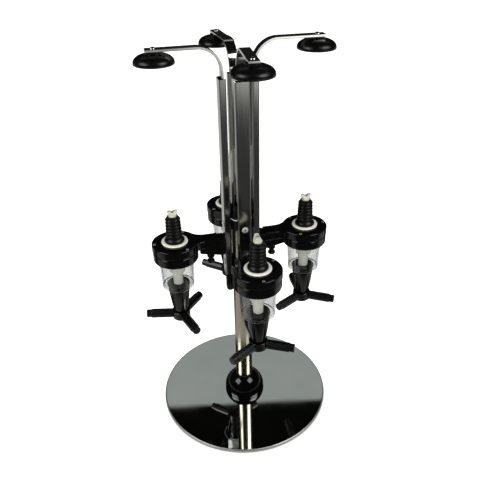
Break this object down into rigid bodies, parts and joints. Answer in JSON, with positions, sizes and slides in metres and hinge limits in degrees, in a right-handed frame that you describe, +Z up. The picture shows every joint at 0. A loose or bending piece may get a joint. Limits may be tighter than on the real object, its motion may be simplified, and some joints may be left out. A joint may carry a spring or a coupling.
{
  "type": "rotary liquor dispenser",
  "caption": "Rotating stand that holds upturned bottles over push-up measuring dispensers, with sprung arms on a round chrome base.",
  "frame": {"origin": "on the table at the centre of the base", "axes": "+Z up along the post, -Y towards the front station, +X towards the right station"},
  "size_m": [0.268, 0.25, 0.5335],
  "materials": {
    "polished_chrome": "mirror polished",
    "nickel_tube": "bright nickel plated",
    "channel_steel": "polished along its length",
    "arm_steel": "chrome plated strip",
    "cast_weight": "raw",
    "pad_foam": "soft foam",
    "gloss_black": "glossy",
    "satin_black": "satin",
    "black_rubber": "semi-gloss moulded",
    "zinc_screw": "zinc plated",
    "white_nylon": "smooth",
    "ivory_plastic": "semi-gloss moulded",
    "cream_gasket": "smooth",
    "clear_plastic": "clear moulded",
    "spring_wire": "bright drawn wire"
  },
  "bodies": {
    "base": {"base_plate": "polished_chrome", "base_ballast": "cast_weight", "base_pad": "pad_foam", "post_tube": "nickel_tube", "post_collar": "gloss_black", "post_plug": "zinc_screw", "post_bolt": "zinc_screw", "thrust_washer": "white_nylon"},
    "rotor": {"upper_hub": "satin_black", "lower_hub": "satin_black", "hub_cap": "satin_black", "cap_screws": "zinc_screw", "channel_screws": "zinc_screw", "brackets": "gloss_black", "bracket_screws": "zinc_screw", "heads": "gloss_black", "head_screws": "zinc_screw", "clamp_rings": "gloss_black", "cups": "clear_plastic", "gaskets": "cream_gasket", "stoppers": "black_rubber", "inlet_tubes": "ivory_plastic", "spouts": "satin_black", "channel_front": "channel_steel", "channel_right": "channel_steel", "channel_back": "channel_steel", "channel_left": "channel_steel", "tension_spring_front": "spring_wire", "tension_spring_right": "spring_wire", "tension_spring_back": "spring_wire", "tension_spring_left": "spring_wire", "return_spring_front": "spring_wire", "return_spring_right": "spring_wire", "return_spring_back": "spring_wire", "return_spring_left": "spring_wire"},
    "front_arm": {"arm_front": "arm_steel", "presser_front": "satin_black", "presser_screw_front": "zinc_screw"},
    "front_valve": {"valve_stem_front": "white_nylon"},
    "front_trigger": {"trigger_front": "satin_black"},
    "front_thumb_screw": {"thumb_screw_front": "satin_black"},
    "right_arm": {"arm_right": "arm_steel", "presser_right": "satin_black", "presser_screw_right": "zinc_screw"},
    "right_valve": {"valve_stem_right": "white_nylon"},
    "right_trigger": {"trigger_right": "satin_black"},
    "right_thumb_screw": {"thumb_screw_right": "satin_black"},
    "back_arm": {"arm_back": "arm_steel", "presser_back": "satin_black", "presser_screw_back": "zinc_screw"},
    "back_valve": {"valve_stem_back": "white_nylon"},
    "back_trigger": {"trigger_back": "satin_black"},
    "back_thumb_screw": {"thumb_screw_back": "satin_black"},
    "left_arm": {"arm_left": "arm_steel", "presser_left": "satin_black", "presser_screw_left": "zinc_screw"},
    "left_valve": {"valve_stem_left": "white_nylon"},
    "left_trigger": {"trigger_left": "satin_black"},
    "left_thumb_screw": {"thumb_screw_left": "satin_black"}
  },
  "joints": [
    {"name": "rotor_spin", "type": "hinge", "parent": "base", "child": "rotor", "pos_m": [0, 0, 0.311], "axis": [0, 0, 1], "continuous": true},
    {"name": "front_arm_lift", "type": "slide", "parent": "rotor", "child": "front_arm", "axis": [0, 0, 1], "range_m": [-0.008, 0.102], "stiffness_N_per_m": 60, "springref_m": -0.05, "deforming": ["tension_spring_front"]},
    {"name": "front_valve_push", "type": "slide", "parent": "rotor", "child": "front_valve", "axis": [0, 0, 1], "range_m": [0, 0.007], "stiffness_N_per_m": 200, "springref_m": -0.012, "deforming": ["return_spring_front"]},
    {"name": "front_trigger_turn", "type": "hinge", "parent": "front_valve", "child": "front_trigger", "pos_m": [0, -0.088, 0.169], "axis": [0, 0, 1], "continuous": true},
    {"name": "front_thumb_turn", "type": "hinge", "parent": "rotor", "child": "front_thumb_screw", "pos_m": [0, -0.04198, 0.25], "axis": [0, 0, 1], "range_deg": [-720, 0]},
    {"name": "right_arm_lift", "type": "slide", "parent": "rotor", "child": "right_arm", "axis": [0, 0, 1], "range_m": [-0.0085, 0.1015], "stiffness_N_per_m": 60, "springref_m": -0.05, "deforming": ["tension_spring_right"]},
    {"name": "right_valve_push", "type": "slide", "parent": "rotor", "child": "right_valve", "axis": [0, 0, 1], "range_m": [0, 0.007], "stiffness_N_per_m": 200, "springref_m": -0.012, "deforming": ["return_spring_right"]},
    {"name": "right_trigger_turn", "type": "hinge", "parent": "right_valve", "child": "right_trigger", "pos_m": [0.088, 0, 0.169], "axis": [0, 0, 1], "continuous": true},
    {"name": "right_thumb_turn", "type": "hinge", "parent": "rotor", "child": "right_thumb_screw", "pos_m": [0.04198, 0, 0.25], "axis": [0, 0, 1], "range_deg": [-720, 0]},
    {"name": "back_arm_lift", "type": "slide", "parent": "rotor", "child": "back_arm", "axis": [0, 0, 1], "range_m": [0, 0.11], "stiffness_N_per_m": 60, "springref_m": -0.05, "deforming": ["tension_spring_back"]},
    {"name": "back_valve_push", "type": "slide", "parent": "rotor", "child": "back_valve", "axis": [0, 0, 1], "range_m": [0, 0.007], "stiffness_N_per_m": 200, "springref_m": -0.012, "deforming": ["return_spring_back"]},
    {"name": "back_trigger_turn", "type": "hinge", "parent": "back_valve", "child": "back_trigger", "pos_m": [0, 0.088, 0.169], "axis": [0, 0, 1], "continuous": true},
    {"name": "back_thumb_turn", "type": "hinge", "parent": "rotor", "child": "back_thumb_screw", "pos_m": [0, 0.04198, 0.25], "axis": [0, 0, 1], "range_deg": [-720, 0]},
    {"name": "left_arm_lift", "type": "slide", "parent": "rotor", "child": "left_arm", "axis": [0, 0, 1], "range_m": [-0.0035, 0.1065], "stiffness_N_per_m": 60, "springref_m": -0.05, "deforming": ["tension_spring_left"]},
    {"name": "left_valve_push", "type": "slide", "parent": "rotor", "child": "left_valve", "axis": [0, 0, 1], "range_m": [0, 0.007], "stiffness_N_per_m": 200, "springref_m": -0.012, "deforming": ["return_spring_left"]},
    {"name": "left_trigger_turn", "type": "hinge", "parent": "left_valve", "child": "left_trigger", "pos_m": [-0.088, 0, 0.169], "axis": [0, 0, 1], "continuous": true},
    {"name": "left_thumb_turn", "type": "hinge", "parent": "rotor", "child": "left_thumb_screw", "pos_m": [-0.04198, 0, 0.25], "axis": [0, 0, 1], "range_deg": [-720, 0]}
  ]
}
